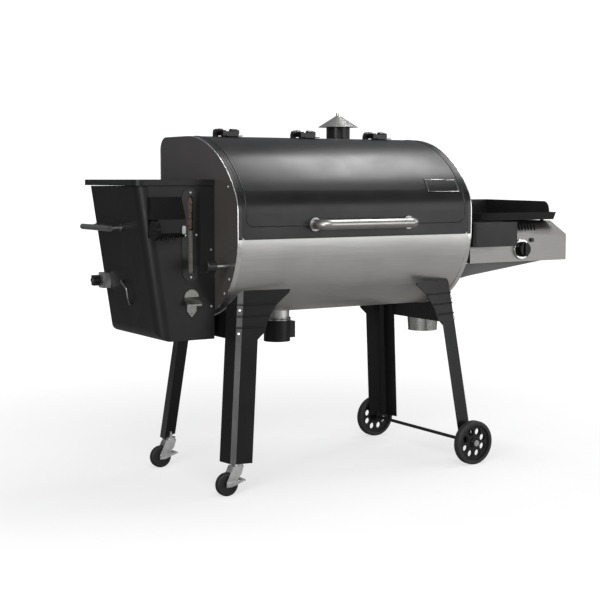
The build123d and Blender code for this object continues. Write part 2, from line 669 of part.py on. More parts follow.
def make_side_handle():
    """Tube handle on two posts on the hopper's left face."""
    z = 853
    face = hopper_face_x(z) - 0.3
    bar_x = face - 46
    handle = rod((bar_x, 36, z), (0, 1, 0), 228, 9.5)
    for y in (50, 250):
        handle += rod((bar_x, y, z), (1, 0, 0), 42.5, 7)
        handle += rod((face, y, z), (-1, 0, HOPPER_LEAN), 4, 11)
    return handle - block((face - 2, face + 60), (40, 300), (z - 40, z + 40)) \
        + [rod((face - 3.4, y, z), (-1, 0, 0), 8, 8) for y in (50, 250)]


def make_cleanout_bracket():
    """Small bracket that guides the clean-out rod."""
    z = 672
    face = hopper_face_x(z)
    outer = face - 26
    bracket = block((outer, outer + 3), (206, 246), (z - 26, z + 26))
    for y in (206, 243):
        bracket += block((outer, face + 1), (y, y + 3), (z - 26, z + 26))
    bracket = bracket - hopper_solid(-0.3, HOPPER_TOP_Z)
    return bracket - rod((outer - 5, 226, z), (1, 0, 0), 60, 5.0 + RUNNING)


def make_cleanout_knob():
    """Star knob on the sprung clean-out rod."""
    z = 672
    face = hopper_face_x(z)
    start = face - 56
    knob = rod((start, 226, z), (1, 0, 0), 24, 13)
    for i in range(6):
        angle = math.radians(i * 60)
        knob += rod((start, 226 + 13 * math.cos(angle), z + 13 * math.sin(angle)), (1, 0, 0), 24, 6.5)
    knob += rod((start + 20, 226, z), (1, 0, 0), 34, 5.0)
    return knob


def make_hopper_pull():
    """Curved finger pull on the hopper's left face."""
    route = [(2, 110, 676), (-8, 84, 671), (-10, 52, 655), (-9, 54, 622), (1, 66, 600)]
    points = [(hopper_face_x(z) + out - 4.0, y, z) for out, y, z in route]
    return bent_bar(points, 10, 3.6) - hopper_solid(-0.05, HOPPER_TOP_Z)


# ------------------------------------------------------------------ stand
def leg_corner(z):
    """Outer corner of the front left leg at a height, as X and Y."""
    drop = LEG_TOP_Z - z
    return -(LEG_TOP_X + LEG_LEAN_X * drop), -(LEG_TOP_Y + LEG_LEAN_Y * drop)


def leg_directions():
    """Plan directions of the two flanges of the front left leg, away from its corner."""
    turn = math.radians(LEG_OPEN_DEG)
    across = (math.cos(turn), -math.sin(turn))
    along = (-math.sin(turn), math.cos(turn))
    return across, along


def leg_blank(bottom):
    """Front left leg as a leaning V of sheet with a bevelled corner, and its front wing."""
    (ux, uy), (vx, vy) = leg_directions()
    cx, cy = leg_corner(bottom)
    line = [(cx + vx * LEG_FLANGE, cy + vy * LEG_FLANGE), (cx + vx * LEG_BEVEL, cy + vy * LEG_BEVEL),
            (cx + ux * LEG_BEVEL, cy + uy * LEG_BEVEL), (cx + ux * LEG_FLANGE, cy + uy * LEG_FLANGE)]
    lean = Vector(LEG_LEAN_X, LEG_LEAN_Y, 1)
    height = LEG_TOP_Z - bottom
    leg = Pos(0, 0, bottom) * extrude(folded(line, LEG_SHEET), amount=height * lean.length, dir=lean)
    return leg + leg_wing(lean)


def leg_wing(lean):
    """Tapered front wing in the plane of the front flange, with three pressed ribs."""
    (ux, uy), (vx, vy) = leg_directions()

    def spot(run, z, out=0.0):
        x, y = leg_corner(z)
        return Vector(x + ux * run, y + uy * run - out, z)

    inward = Vector(ux, uy, 0).cross(lean).normalized()
    if inward.Y < 0:
        inward = -inward
    outline = [spot(LEG_FLANGE - 6, LEG_TOP_Z), spot(WING_REACH, LEG_TOP_Z),
               spot(WING_REACH - 2, LEG_TOP_Z - 10), spot(128, 606), spot(100, 556),
               spot(92, 520), spot(LEG_FLANGE, APRON_BOTTOM_Z), spot(LEG_FLANGE - 6, APRON_BOTTOM_Z)]
    wing = slab(outline, LEG_SHEET, inward)
    for z, reach in ((609, 126), (572, 103), (536, 88)):
        turn = spot(LEG_BEVEL, z, -RIB_SINK)
        start = spot(0, z, -RIB_SINK) + Vector(vx, vy, 0) * LEG_BEVEL
        wing += rod(turn, (ux, uy, 0), reach - LEG_BEVEL, RIB_RADIUS)
        wing += rod(start, turn - start, (turn - start).length, RIB_RADIUS) + Pos(turn) * Sphere(RIB_RADIUS)
    return wing


def barrel_clearance():
    """Solid that legs and aprons are cut back from, just outside the barrel."""
    return barrel_prism(-0.4, -END_X - 20, END_X + 20)


def caster_plate():
    """Floor of a left leg, which holds the caster stem."""
    (ux, uy), (vx, vy) = leg_directions()
    cx, cy = leg_corner(LEFT_LEG_BOTTOM_Z)
    reach = LEG_FLANGE - 4
    inset = 1.6
    points = [(cx + inset + vx * 14, cy + vy * 14), (cx + ux * 14, cy + inset + uy * 14),
              (cx + ux * reach, cy + uy * reach + inset), (cx + vx * reach + inset, cy + vy * reach)]
    z = LEFT_LEG_BOTTOM_Z
    plate = slab([(x, y, z) for x, y in points], 3.0, (0, 0, 1))
    return plate - rod((CASTER_X, -CASTER_Y, z - 5), (0, 0, 1), 20, 5.5 + RUNNING)


def axle_tab():
    """Tongue under a right leg that holds the axle, built for the front left position."""
    _, cy = leg_corner(RIGHT_LEG_BOTTOM_Z)
    y = cy - uy_drop(26)
    tab = block((-WHEEL_X - 15, -WHEEL_X + 15), (y, y + 3), (62, RIGHT_LEG_BOTTOM_Z + 30))
    return tab - rod((-WHEEL_X, y - 10, WHEEL_RADIUS), (0, 1, 0), 30, AXLE_RADIUS)


def uy_drop(run):
    """How far the opened front flange steps outward over a run."""
    return math.sin(math.radians(LEG_OPEN_DEG)) * run - 3.4


def make_left_legs():
    """Two legs that stand on casters."""
    front = leg_blank(LEFT_LEG_BOTTOM_Z) - barrel_clearance() + caster_plate()
    return [front, mirror(front, about=Plane.XZ)]


def make_right_legs():
    """Two legs that carry the wheel axle."""
    left = leg_blank(RIGHT_LEG_BOTTOM_Z) - barrel_clearance() + axle_tab()
    front = mirror(left, about=Plane.YZ)
    return [front, mirror(front, about=Plane.XZ)]


def make_leg_aprons():
    """Panels between the legs of each side, cut to the barrel's curve."""
    drop = LEG_TOP_Z - APRON_BOTTOM_Z
    x = -(LEG_TOP_X + LEG_LEAN_X * drop) - 4.0
    half = 158.0
    face = Pos(x + LEG_SHEET / 2, 0, APRON_BOTTOM_Z) * Rectangle(LEG_SHEET, 2 * half)
    lean = Vector(LEG_LEAN_X, 0, 1)
    panel = extrude(face, amount=drop * lean.length, dir=lean) - barrel_clearance()
    left = max(panel.solids(), key=lambda solid: solid.volume)
    return [left, mirror(left, about=Plane.YZ)]


def leg_bolts():
    """Domed bolts through the bevelled corners of the four legs."""
    middle = LEG_BEVEL / 2 * (math.cos(math.radians(LEG_OPEN_DEG)) - math.sin(math.radians(LEG_OPEN_DEG)))
    bolts = []
    for z in (591, 517):
        cx, cy = leg_corner(z)
        start = (cx + middle - 0.02, cy + middle - 0.02, z)
        bolts.append(dome(start, (-1, -1, LEG_LEAN_X + LEG_LEAN_Y), 5.4, 4.0))
    front = bolts + [mirror(bolt, about=Plane.YZ) for bolt in bolts]
    return front + [mirror(bolt, about=Plane.XZ) for bolt in front]


def make_axle():
    """Axle bar with its end heads outside the wheels."""
    reach = WHEEL_Y[1] + 1.0
    bar = rod((WHEEL_X, -reach, WHEEL_RADIUS), (0, 1, 0), 2 * reach, AXLE_RADIUS)
    for side in (-1, 1):
        bar += rod((WHEEL_X, side * reach, WHEEL_RADIUS), (0, side, 0), 6, 11)
    return bar


def make_wheel(side):
    """Moulded wheel with eight openings and a rubber tread."""
    y0, y1 = sorted((side * WHEEL_Y[0], side * WHEEL_Y[1]))
    tyre = tube((WHEEL_X, y0, WHEEL_RADIUS), (0, 1, 0), y1 - y0, WHEEL_RADIUS, WHEEL_RADIUS - 14)
    tyre = fillet(tyre.edges().filter_by(GeomType.CIRCLE).group_by(SortBy.RADIUS)[-1], 6)
    web = rod((WHEEL_X, y0 + 7, WHEEL_RADIUS), (0, 1, 0), y1 - y0 - 14, WHEEL_RADIUS - 13)
    hub = rod((WHEEL_X, y0 + 1, WHEEL_RADIUS), (0, 1, 0), y1 - y0 - 2, 18)
    wheel = tyre + web + hub
    for i in range(8):
        angle = math.radians(22.5 + i * 45)
        x = WHEEL_X + 41 * math.cos(angle)
        z = WHEEL_RADIUS + 41 * math.sin(angle)
        wheel -= rod((x, y0 - 5, z), (0, 1, 0), 50, 12.5)
    return wheel - rod((WHEEL_X, y0 - 5, WHEEL_RADIUS), (0, 1, 0), 50, AXLE_RADIUS + RUNNING)


def make_caster_fork(side):
    """Caster stem, swivel race, fork cheeks and wheel pin."""
    x, y = CASTER_X, side * CASTER_Y
    top = LEFT_LEG_BOTTOM_Z - 1.0
    wheel_x = x - CASTER_TRAIL
    fork = rod((x, y, top - 8), (0, 0, 1), 26, 5.5)
    fork += rod((x, y, top - 9), (0, 0, 1), 9, 17)
    bridge = block((x - 24, x + 14), (y - 17, y + 17), (top - 11, top - 8))
    fork += bridge
    for cheek in (-1, 1):
        inner, outer = sorted((y + cheek * 14.5, y + cheek * 17))
        outline = [(x + 14, inner, top - 8), (x - 24, inner, top - 8), (wheel_x - 10, inner, 44),
                   (wheel_x - 10, inner, 32), (wheel_x + 10, inner, 30), (x + 6, inner, 70)]
        fork += slab(outline, outer - inner, (0, 1, 0))
    fork += rod((wheel_x, y - 19, CASTER_RADIUS), (0, 1, 0), 38, 4.0)
    return fork


def make_caster_wheel(side):
    """Solid caster wheel with a crowned tread and recessed faces."""
    x, y = CASTER_X - CASTER_TRAIL, side * CASTER_Y
    wheel = rod((x, y - 11, CASTER_RADIUS), (0, 1, 0), 22, CASTER_RADIUS)
    wheel = fillet(wheel.edges().filter_by(GeomType.CIRCLE), 5)
    for face in (-1, 1):
        wheel -= tube((x, y + face * 8, CASTER_RADIUS), (0, face, 0), 10, 27, 10)
    return wheel - rod((x, y - 30, CASTER_RADIUS), (0, 1, 0), 60, 4.0 + RUNNING)


def make_brake_pedal(side):
    """Foot pedal that rocks on the wheel pin, outside the fork."""
    x, y = CASTER_X - CASTER_TRAIL, side * CASTER_Y
    pedal = Part()
    for cheek in (-1, 1):
        inner, outer = sorted((y + cheek * 17.6, y + cheek * 19.6))
        outline = [(x - 10, inner, 31), (x - 10, inner, 45), (x + 30, inner, 49),
                   (x + 52, inner, 49), (x + 52, inner, 45), (x + 10, inner, 31)]
        pedal += slab(outline, outer - inner, (0, 1, 0))
    pedal += block((x + 44, x + 60), (y - 19.6, y + 19.6), (46, 50))
    return pedal - rod((x, y - 30, CASTER_RADIUS), (0, 1, 0), 60, 4.0 + RUNNING)


# ------------------------------------------------------------------ side burner
def console_outline(inset):
    """Side view of the burner box as (Y, Z) points."""
    front, rear = BURNER_FRONT_Y + inset, BURNER_REAR_Y - inset
    bend = front + CONSOLE_DEPTH
    return [(front, BURNER_BOTTOM_Z + inset), (front, PANEL_TOP_Z - inset * 0.4),
            (bend, CONSOLE_TOP_Z - inset), (rear, CONSOLE_TOP_Z - inset), (rear, BURNER_BOTTOM_Z + inset)]


def make_burner_box():
    """Stainless burner body: front panel, vented sloping console and side walls."""
    outer = yz_prism(console_outline(0), BURNER_X)
    inner = yz_prism(console_outline(1.6), (BURNER_X[0] + 1.6, BURNER_X[1] - 1.6))
    well = block((GRIDDLE_X[0] + 14, GRIDDLE_X[1] - 14), (BURNER_FRONT_Y + CONSOLE_DEPTH + 20, 195),
                 (800, 900))
    box = outer - inner - well
    box -= rod((KNOB_X, BURNER_FRONT_Y - 5, KNOB_Z), (0, 1, 0), 12, 5.0 + RUNNING)
    box -= rod((IGNITER_X, BURNER_FRONT_Y - 5, IGNITER_Z), (0, 1, 0), 12, 8.0)
    slope = math.degrees(math.atan2(CONSOLE_TOP_Z - PANEL_TOP_Z, CONSOLE_DEPTH))
    for i in range(9):
        slot = Pos(752 + i * 15, BURNER_FRONT_Y + CONSOLE_DEPTH * 0.56,
                   PANEL_TOP_Z + (CONSOLE_TOP_Z - PANEL_TOP_Z) * 0.56) * Rot(slope, 0, 0) \
            * Rot(0, 0, -32) * Box(5, 58, 12)
        box -= slot
    return box


def make_burner_bracket():
    """Sloping underside plate that ties the burner box to the barrel's end."""
    y = BURNER_FRONT_Y + 6
    bracket = Part()
    for start in (y, BURNER_REAR_Y - 9):
        outline = [(END_X + 2.5, start, 655), (BURNER_X[0], start, 664), (872, start, BURNER_BOTTOM_Z - 0.2),
                   (END_X + 2.5, start, BURNER_BOTTOM_Z - 0.2)]
        bracket += slab(outline, 3, (0, 1, 0))
    bracket += block((END_X + 2.5, END_X + 6), (y, BURNER_REAR_Y - 6), (655, 800))
    bracket += block((END_X + 6, BURNER_X[0] - 0.2), (y, BURNER_REAR_Y - 6), (795, 800))
    return bracket


def make_gas_burner():
    """Cast ring burner and its venturi tube under the griddle."""
    x, y = sum(GRIDDLE_X) / 2, 40
    ring = tube((x, y, 812), (0, 0, 1), 20, 88, 62)
    ring += block((x - 80, x + 80), (y - 12, y + 12), (812, 826))
    ring += rod((x, y, 812), (0, 0, 1), 18, 24)
    venturi = rod((x, BURNER_FRONT_Y + 60, 790), (0, 1, 0), y - BURNER_FRONT_Y - 60, 13)
    riser = rod((x, y, 778), (0, 0, 1), 36, 15)
    feet = [block((x + dx - 3, x + dx + 3), (y - 4, y + 4), (BURNER_BOTTOM_Z + 1.8, 814))
            for dx in (-76, 76)]
    return ring + venturi + riser + feet


def make_knob_bezel():
    """Bright dished ring behind the burner knob."""
    y = BURNER_FRONT_Y - 5.2
    ring = tube((KNOB_X, y, KNOB_Z), (0, 1, 0), 5.0, 38, 5.4)
    ring = fillet(ring.edges().filter_by(GeomType.CIRCLE).group_by(Axis.Y)[0].sort_by(SortBy.RADIUS)[-1], 3)
    return ring - rod((KNOB_X, y - 1, KNOB_Z), (0, 1, 0), 3, 30)


def make_burner_knob():
    """Control knob with a raised grip, on the valve stem."""
    back = BURNER_FRONT_Y - 5.6
    knob = rod((KNOB_X, back - 8, KNOB_Z), (0, 1, 0), 8, 28)
    knob += rod((KNOB_X, back - 20, KNOB_Z), (0, 1, 0), 14, 24)
    knob += block((KNOB_X - 6.5, KNOB_X + 6.5), (back - 26, back - 10), (KNOB_Z - 25, KNOB_Z + 25))
    return knob + rod((KNOB_X, back - 2, KNOB_Z), (0, 1, 0), 24, 5.0)


def make_igniter_button():
    """Sprung igniter button."""
    y = BURNER_FRONT_Y
    return rod((IGNITER_X, y - 8, IGNITER_Z), (0, 1, 0), 14, 7.6)


def make_griddle():
    """Cast griddle: plate, rear and right splash walls, left rim and front lip."""
    x0, x1 = GRIDDLE_X
    y0, y1 = GRIDDLE_Y
    plate = block((x0, x1), (y0 + 14, y1), (GRIDDLE_Z, GRIDDLE_Z + 7))
    rear = block((x0, x1), (y1 - 5, y1), (GRIDDLE_Z, GRIDDLE_WALL_Z))
    left = block((x0, x0 + 5), (y0 + 14, y1), (GRIDDLE_Z, GRIDDLE_RIM_Z))
    side = [(y0 + 14, GRIDDLE_Z), (y1, GRIDDLE_Z), (y1, GRIDDLE_WALL_Z), (y0 + 44, GRIDDLE_WALL_Z - 3),
            (y0 + 36, GRIDDLE_RIM_Z), (y0 + 14, GRIDDLE_RIM_Z)]
    right = yz_prism(side, (x1 - 5, x1))
    right = fillet(right.edges().filter_by(Axis.X).sort_by_distance((x1, y0 + 44, GRIDDLE_WALL_Z))[0], 30)
    lip = yz_prism([(y0 + 20, GRIDDLE_Z), (y0 + 20, GRIDDLE_Z + 6), (y0 + 4, GRIDDLE_RIM_Z),
                    (y0, GRIDDLE_RIM_Z), (y0 + 14, GRIDDLE_Z)], (x0, x1))
    feet = [rod((x, y, CONSOLE_TOP_Z + GAP), (0, 0, 1), GRIDDLE_Z - CONSOLE_TOP_Z, 7)
            for x in (x0 + 8, x1 - 9) for y in (y0 + 68, y1 - 40)]
    return plate + rear + left + right + lip + feet


def make_grease_box():
    """Open grease drawer hooked on the front of the burner box."""
    box = block(GREASE_BOX_X, GREASE_BOX_Y, GREASE_BOX_Z)
    box = fillet(box.edges().filter_by(Axis.Z).group_by(Axis.Y)[0], 8)
    x, y, z = GREASE_BOX_X, GREASE_BOX_Y, GREASE_BOX_Z
    return box - block((x[0] + 2, x[1] - 2), (y[0] + 2, y[1] - 2), (z[0] + 2, z[1] + 5))


# ------------------------------------------------------------------ cups
def make_ash_cup():
    """Ash cup with its bright collar and the square latch on its side."""
    low, high = CUP_Z
    cup = rod((FIRE_POT_X, 0, low), (0, 0, 1), high - low, CUP_RADIUS)
    cup -= rod((FIRE_POT_X, 0, low + 2), (0, 0, 1), high - low, CUP_RADIUS - 2.5)
    latch = block((FIRE_POT_X + 30, FIRE_POT_X + 64), (-17, 17), (low + 10, high - 16))
    return cup + (latch - rod((FIRE_POT_X, 0, low), (0, 0, 1), 100, CUP_RADIUS - 1))


def make_grease_bucket():
    """Tapered grease bucket with its wire bail up over the spout."""
    low, high = BUCKET_Z
    align = (Align.CENTER, Align.CENTER, Align.MIN)
    outer = Cone(BUCKET_BOTTOM_RADIUS, BUCKET_TOP_RADIUS, high - low, align=align)
    inner = Pos(0, 0, 2) * Cone(BUCKET_BOTTOM_RADIUS - 1.6, BUCKET_TOP_RADIUS - 1.6, high - low, align=align)
    bucket = Pos(BUCKET_X, BUCKET_Y, low) * (outer - inner)
    rim = Pos(BUCKET_X, BUCKET_Y, high - 1) * Torus(BUCKET_TOP_RADIUS, 2.2)
    bail = bent_bar([(BUCKET_X, BUCKET_Y - BUCKET_TOP_RADIUS - 1, high - 6),
                     (BUCKET_X, BUCKET_Y - BUCKET_TOP_RADIUS - 1, high + 44),
                     (BUCKET_X, BUCKET_Y, SPOUT_Z + 23),
                     (BUCKET_X, BUCKET_Y + BUCKET_TOP_RADIUS + 1, high + 44),
                     (BUCKET_X, BUCKET_Y + BUCKET_TOP_RADIUS + 1, high - 6)], 14, 1.8)
    return bucket + rim + bail


def make_screws_and_bolts():
    """Domed screws of the left end cap, window frame and hopper seam, and the leg bolts."""
    screws = [dome((-END_X - 0.1, y, z), (-1, 0, 0), 5, 3)
              for y, z in ((-211, 987), (-216, 693), (-182, 645))]
    frame = HOPPER_FRONT_Y - 2.5
    half = WINDOW_FRAME[1] / 2 - 13
    for x, z in ((WINDOW_X, WINDOW_CENTRE_Z + half), (WINDOW_X, WINDOW_CENTRE_Z - half),
                 (WINDOW_X - 20, WINDOW_CENTRE_Z), (WINDOW_X + 20, WINDOW_CENTRE_Z)):
        screws.append(dome((x, frame, z), (0, -1, 0), 3.6, 2))
    for z in (784, 600):
        screws.append(dome((HOPPER_RIGHT_X - 11, HOPPER_FRONT_Y, z), (0, -1, 0), 3.6, 2))
    return screws + leg_bolts()


# ------------------------------------------------------------------ assembly
NODES = {
    "barrel_shell": make_barrel_shell,
    "end_cap_left": make_end_cap_left,
    "end_cap_right": make_end_cap_right,
    "end_rims": make_end_rims,
    "lid_shell": make_lid_shell,
    "lid_handle": make_lid_handle,
    "nameplate": make_nameplate,
    "hinge_brackets": make_hinge_brackets,
    "hinge_leaves": make_hinge_leaves,
    "hinge_pins": make_hinge_pins,
    "chimney_pipe": make_chimney_pipe,
    "chimney_cap": make_chimney_cap,
    "cooking_grate": make_cooking_grate,
    "warming_rack": make_warming_rack,
    "grate_ledges": make_grate_ledges,
    "drip_tray": make_drip_tray,
    "heat_baffle": make_heat_baffle,
    "fire_pot": make_fire_pot,
    "auger_tube": make_auger_tube,
    "auger_screw": make_auger_screw,
    "auger_motor": make_auger_motor,
    "blower_housing": make_blower_housing,
    "fan_wheel": make_fan_wheel,
    "ash_pull": make_ash_pull,
    "hopper_shell": make_hopper_shell,
    "window_frame": make_window_frame,
    "window_pane": make_window_pane,
    "wood_pellets": make_wood_pellets,
    "hopper_lid": make_hopper_lid,
    "controller_housing": make_controller_housing,
    "controller_dial": make_controller_dial,
    "power_button": make_power_button,
    "bottle_opener": make_bottle_opener,
    "side_handle": make_side_handle,
    "cleanout_bracket": make_cleanout_bracket,
    "cleanout_knob": make_cleanout_knob,
    "hopper_pull": make_hopper_pull,
    "left_legs": make_left_legs,
    "right_legs": make_right_legs,
    "leg_aprons": make_leg_aprons,
    "axle": make_axle,
    "wheel_front": lambda: make_wheel(-1),
    "wheel_rear": lambda: make_wheel(1),
    "caster_fork_front": lambda: make_caster_fork(-1),
    "caster_fork_rear": lambda: make_caster_fork(1),
    "caster_wheel_front": lambda: make_caster_wheel(-1),
    "caster_wheel_rear": lambda: make_caster_wheel(1),
    "brake_pedal_front": lambda: make_brake_pedal(-1),
    "brake_pedal_rear": lambda: make_brake_pedal(1),
    "burner_box": make_burner_box,
    "burner_bracket": make_burner_bracket,
    "gas_burner": make_gas_burner,
    "knob_bezel": make_knob_bezel,
    "burner_knob": make_burner_knob,
    "igniter_button": make_igniter_button,
    "griddle": make_griddle,
    "grease_box": make_grease_box,
    "ash_cup": make_ash_cup,
    "grease_bucket": make_grease_bucket,
    "screws_and_bolts": make_screws_and_bolts,
}


def solids_of(shape):
    """Every solid of a piece or of a list of pieces."""
    if isinstance(shape, (list, tuple)):
        return [solid for piece in shape for solid in solids_of(piece)]
    return list(shape.solids())


def write_parts():
    """Build every node, shift it to the footprint's middle and write its STEP file."""
    os.makedirs("parts", exist_ok=True)
    built = {name: solids_of(make()) for name, make in NODES.items()}
    box = Compound([solid for solids in built.values() for solid in solids]).bounding_box()
    shift = Pos(-(box.min.X + box.max.X) / 2, -(box.min.Y + box.max.Y) / 2, -box.min.Z)
    for name, solids in built.items():
        export_step(shift * Compound(solids), f"parts/{name}.step")
    return box


if __name__ == "__main__":
    write_parts()
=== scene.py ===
"""Looks of a barrel pellet grill with hopper, side burner and cart. Metres; X right, Y back, Z up."""
import math
import random

import bpy
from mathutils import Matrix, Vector


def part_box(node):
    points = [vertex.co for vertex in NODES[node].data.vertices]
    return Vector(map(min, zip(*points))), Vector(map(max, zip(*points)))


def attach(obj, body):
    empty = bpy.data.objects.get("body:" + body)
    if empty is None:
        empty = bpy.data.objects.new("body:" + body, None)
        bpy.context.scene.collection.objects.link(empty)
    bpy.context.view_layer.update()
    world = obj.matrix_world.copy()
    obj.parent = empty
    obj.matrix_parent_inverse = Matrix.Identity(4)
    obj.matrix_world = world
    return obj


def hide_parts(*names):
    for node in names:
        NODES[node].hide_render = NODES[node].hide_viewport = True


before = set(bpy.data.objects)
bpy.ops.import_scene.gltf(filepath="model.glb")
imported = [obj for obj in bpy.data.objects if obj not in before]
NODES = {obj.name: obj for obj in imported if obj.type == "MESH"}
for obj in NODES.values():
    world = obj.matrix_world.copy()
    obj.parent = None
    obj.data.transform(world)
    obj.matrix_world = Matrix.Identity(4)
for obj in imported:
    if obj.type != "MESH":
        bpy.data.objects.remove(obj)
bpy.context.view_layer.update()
MM = 0.001

# Middle of the barrel.
CAP_LOW, CAP_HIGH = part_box("end_cap_left")
RIM_LOW, RIM_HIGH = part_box("end_rims")
CENTRE_X = (RIM_LOW.x + RIM_HIGH.x) / 2
CENTRE_Y = (CAP_LOW.y + CAP_HIGH.y) / 2

# Barrel section, as in the sheet-metal drawing of the grill.
BARREL_RADIUS = 275 * MM
SHOULDER_Z = 905 * MM
SHOULDER_RADIUS = 130 * MM
CROWN_RADIUS = 388 * MM
TOP_Z = 1155 * MM


# ------------------------------------------------------------------ shader helpers
class Finish:
    """A node material with a Principled shader and short calls for procedural detail."""

    def __init__(self, name, **constants):
        self.material = bpy.data.materials.new(name)
        self.material.use_nodes = True
        self.tree = self.material.node_tree
        self.shader = self.tree.nodes["Principled BSDF"]
        self.coords = self.tree.nodes.new("ShaderNodeTexCoord").outputs["Object"]
        for socket, value in constants.items():
            self.shader.inputs[socket.replace("_", " ")].default_value = value

    def link(self, output, socket):
        self.tree.links.new(output, socket)

    def stretched(self, scale):
        """Object coordinates scaled along each axis."""
        mapping = self.tree.nodes.new("ShaderNodeMapping")
        mapping.inputs["Scale"].default_value = scale
        self.link(self.coords, mapping.inputs["Vector"])
        return mapping.outputs["Vector"]

    def noise(self, scale, detail=4.0, stretch=None, roughness=0.5):
        """Noise value from 0 to 1."""
        node = self.tree.nodes.new("ShaderNodeTexNoise")
        node.inputs["Scale"].default_value = scale
        node.inputs["Detail"].default_value = detail
        node.inputs["Roughness"].default_value = roughness
        self.link(self.stretched(stretch) if stretch else self.coords, node.inputs["Vector"])
        return node.outputs["Fac"]

    def remap(self, value, low, high, start=0.3, end=0.7):
        """Value carried from start..end to low..high."""
        node = self.tree.nodes.new("ShaderNodeMapRange")
        limits = {"From Min": start, "From Max": end, "To Min": low, "To Max": high}
        for socket, number in limits.items():
            node.inputs[socket].default_value = number
        self.link(value, node.inputs["Value"])
        return node.outputs["Result"]

    def blend(self, factor, low, high):
        """Colour between two colours; each is a tuple or another node's colour."""
        node = self.tree.nodes.new("ShaderNodeMix")
        node.data_type = "RGBA"
        self.link(factor, node.inputs[0])
        for socket, colour in ((node.inputs[6], low), (node.inputs[7], high)):
            if isinstance(colour, tuple):
                socket.default_value = (*colour, 1.0)
            else:
                self.link(colour, socket)
        return node.outputs[2]

    def math(self, operation, first, second=0.0):
        """One arithmetic step between two values or numbers."""
        node = self.tree.nodes.new("ShaderNodeMath")
        node.operation = operation
        for socket, value in zip(node.inputs, (first, second)):
            if isinstance(value, (int, float)):
                socket.default_value = value
            else:
                self.link(value, socket)
        return node.outputs[0]

    def axis(self, name):
        """One component of the object coordinates."""
        node = self.tree.nodes.new("ShaderNodeSeparateXYZ")
        self.link(self.coords, node.inputs[0])
        return node.outputs[name]

    def bump(self, height, strength, distance):
        node = self.tree.nodes.new("ShaderNodeBump")
        node.inputs["Strength"].default_value = strength
        node.inputs["Distance"].default_value = distance
        self.link(height, node.inputs["Height"])
        self.link(node.outputs["Normal"], self.shader.inputs["Normal"])

    def colour(self, output):
        self.link(output, self.shader.inputs["Base Color"])

    def roughness(self, output):
        self.link(output, self.shader.inputs["Roughness"])

    def metallic(self, output):
        self.link(output, self.shader.inputs["Metallic"])


def lighter(colour, amount):
    return tuple(min(1.0, channel * amount) for channel in colour)


def painted(name, colour, rough, coat=0.0, peel=0.10, dust=1.5, grain=900.0):
    """Enamel or powder coat: orange peel, slow gloss drift and a film of dust."""
    finish = Finish(name, Coat_Weight=coat, Coat_Roughness=0.20, Specular_IOR_Level=0.34)
    drift = finish.noise(3.2, 3.0)
    film = finish.remap(drift, 0.0, 1.0, 0.35, 0.75)
    finish.colour(finish.blend(film, colour, lighter(colour, dust)))
    smear = finish.noise(9.0, 6.0, roughness=0.62)
    finish.roughness(finish.remap(smear, rough * 0.85, rough * 1.25))
    finish.bump(finish.noise(grain, 2.0), peel, 0.0004)
    return finish.material


def brushed(name, colour, rough, along="X", contrast=1.22, metal=1.0, aniso=0.5):
    """Brushed or rolled sheet: fine lines along one axis over a soft, cloudy tone."""
    stretch = {"X": (6.0, 700.0, 700.0), "Y": (700.0, 6.0, 700.0), "Z": (700.0, 700.0, 6.0)}[along]
    finish = Finish(name, Metallic=metal, Anisotropic=aniso)
    lines = finish.noise(1.0, 3.0, stretch)
    cloud = finish.noise(4.0, 4.0)
    dark, light = lighter(colour, 1 / contrast), lighter(colour, contrast)
    tone = finish.blend(finish.remap(lines, 0.0, 1.0), dark, light)
    stained = finish.blend(finish.remap(cloud, 0.0, 0.55, 0.45, 0.8), tone, lighter(colour, 0.72))
    finish.colour(stained)
    finish.roughness(finish.remap(lines, rough * 0.8, rough * 1.3))
    finish.bump(lines, 0.05, 0.0002)
    return finish.material


def polished(name, colour, rough):
    """Polished tube or plated steel with faint smears."""
    finish = Finish(name, Metallic=1.0)
    smear = finish.noise(26.0, 5.0, roughness=0.6)
    finish.colour(finish.blend(finish.remap(smear, 0.0, 1.0), lighter(colour, 0.86), colour))
    finish.roughness(finish.remap(smear, rough * 0.7, rough * 1.6))
    finish.bump(finish.noise(240.0, 2.0), 0.03, 0.0002)
    return finish.material


def cast(name, colour, rough, grain=420.0, strength=0.55):
    """Cast iron or porcelain-coated wire: pitted, dull and slightly oily."""
    finish = Finish(name, Metallic=0.0, Specular_IOR_Level=0.45)
    pits = finish.noise(grain, 6.0, roughness=0.7)
    oil = finish.noise(14.0, 4.0)
    pitted = finish.remap(pits, 0.0, 1.0)
    finish.colour(finish.blend(pitted, lighter(colour, 0.7), lighter(colour, 1.5)))
    finish.roughness(finish.remap(oil, rough * 0.75, min(1.0, rough * 1.2)))
    finish.bump(pits, strength, 0.0005)
    return finish.material


def moulded(name, colour, rough, grain=1400.0, strength=0.18, gloss=0.5):
    """Moulded plastic or rubber: fine spark-eroded texture."""
    finish = Finish(name, Specular_IOR_Level=gloss)
    cloud = finish.noise(11.0, 3.0)
    finish.colour(finish.blend(finish.remap(cloud, 0.0, 1.0), colour, lighter(colour, 1.35)))
    finish.roughness(finish.remap(cloud, rough * 0.9, min(1.0, rough * 1.15)))
    finish.bump(finish.noise(grain, 3.0), strength, 0.0003)
    return finish.material


def radius_from(finish, centre, plane):
    """Distance from an axis through centre; plane names the two axes across it."""
    squares = []
    for name, middle in zip(plane, centre):
        offset = finish.math("SUBTRACT", finish.axis(name), middle)
        squares.append(finish.math("MULTIPLY", offset, offset))
    return finish.math("SQRT", finish.math("ADD", *squares))


